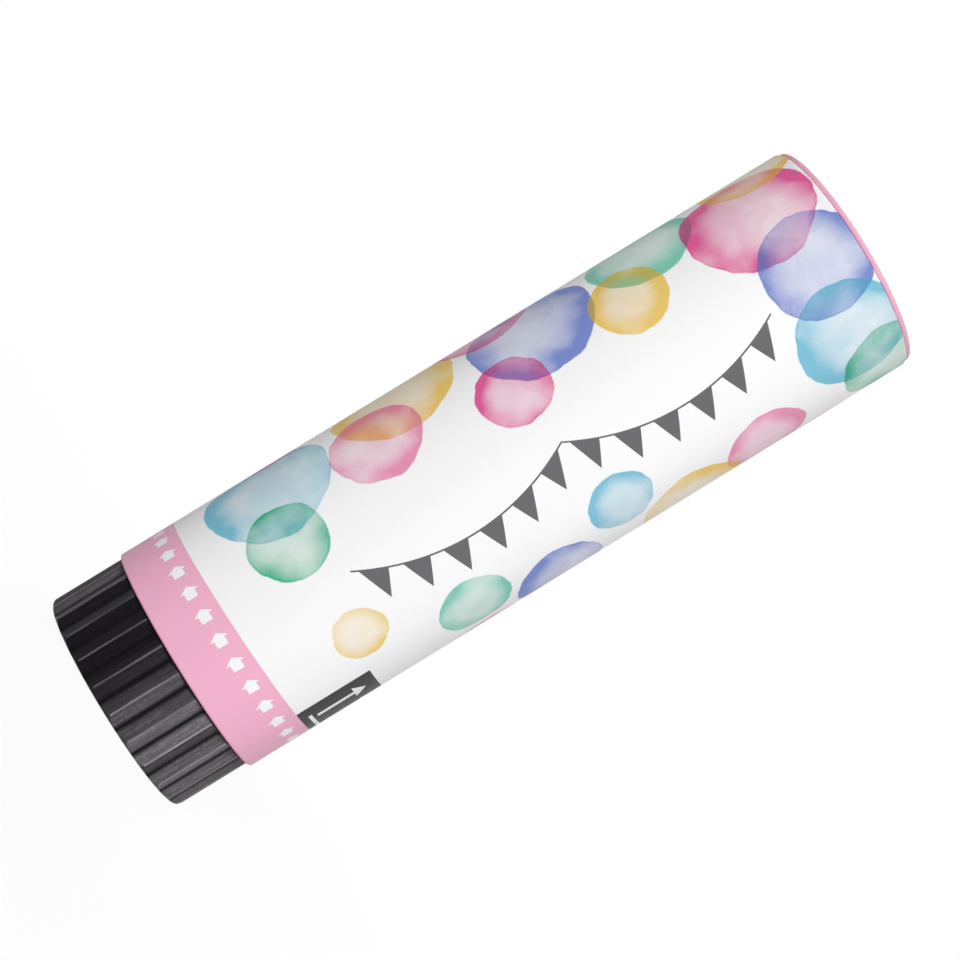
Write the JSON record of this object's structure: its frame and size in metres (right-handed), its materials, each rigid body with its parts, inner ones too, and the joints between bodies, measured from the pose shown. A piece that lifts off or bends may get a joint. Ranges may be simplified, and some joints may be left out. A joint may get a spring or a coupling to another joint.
{
  "type": "confetti popper",
  "caption": "Hand-held twist confetti popper: printed card tube with a push-in lid, a ribbed twist base and an air bottle that blows out a wad and paper slips.",
  "frame": {"origin": "middle of the twist base's foot, the face that the popper stands on", "axes": "+Z along the tube from the twist base to the lid, -Y the side that the arrow ring starts from"},
  "size_m": [0.05, 0.05, 0.174],
  "materials": {
    "printed_paper": "printed satin paper",
    "tube_card": "rolled grey card",
    "base_black": "moulded satin black",
    "plug_black": "moulded matt black",
    "pin_natural": "natural acetal",
    "seal_rubber": "matt rubber",
    "bottle_metal": "drawn satin aluminium",
    "ferrule_metal": "gold lacquered aluminium",
    "valve_natural": "natural nylon",
    "spring_steel": "drawn wire",
    "collar_grey": "moulded grey",
    "wad_board": "grey board",
    "wad_felt": "pressed felt",
    "paper_pink": "tissue paper",
    "paper_mint": "tissue paper",
    "paper_blue": "tissue paper",
    "paper_yellow": "tissue paper",
    "lid_board": "grey board",
    "lid_pink": "printed satin paper on card"
  },
  "bodies": {
    "barrel": {"cardboard_tube": "tube_card", "printed_wrap": "printed_paper", "base_plug": "plug_black", "air_bottle": "bottle_metal", "valve_body": "valve_natural", "neck_gasket": "seal_rubber", "crimp_ferrule": "ferrule_metal", "valve_spring": "spring_steel", "spring_retainer": "valve_natural", "bottle_collar": "collar_grey"},
    "twist_base": {"twist_base": "base_black"},
    "valve_stem": {"release_pin": "pin_natural", "pin_o_ring": "seal_rubber", "valve_poppet": "pin_natural", "poppet_seal": "seal_rubber"},
    "wad": {"wad_card": "wad_board", "wad_felt": "wad_felt"},
    "confetti": {"confetti_pink": "paper_pink", "confetti_mint": "paper_mint", "confetti_blue": "paper_blue", "confetti_yellow": "paper_yellow"},
    "lid": {"lid_plug": "lid_board", "lid_cover": "lid_pink"}
  },
  "joints": [
    {"name": "base_twist", "type": "hinge", "parent": "barrel", "child": "twist_base", "pos_m": [0, 0, 0], "axis": [0, 0, -1], "range_deg": [0, 75]},
    {"name": "pin_lift", "type": "slide", "parent": "barrel", "child": "valve_stem", "axis": [0, 0, 1], "range_m": [0, 0.003], "deforming": ["valve_spring"]},
    {"name": "confetti_launch", "type": "slide", "parent": "barrel", "child": "confetti", "axis": [0, 0, 1], "range_m": [0, 0.1]},
    {"name": "wad_launch", "type": "slide", "parent": "barrel", "child": "wad", "axis": [0, 0, 1], "range_m": [0, 0.085]},
    {"name": "lid_pop", "type": "slide", "parent": "barrel", "child": "lid", "axis": [0, 0, 1], "range_m": [0, 0.125]}
  ],
  "couplings": [
    {"joint": "pin_lift", "follows": "base_twist", "m_per_rad": 0.0022918},
    {"joint": "wad_launch", "follows": "confetti_launch", "ratio": 0.85},
    {"joint": "lid_pop", "follows": "confetti_launch", "ratio": 1.25}
  ]
}
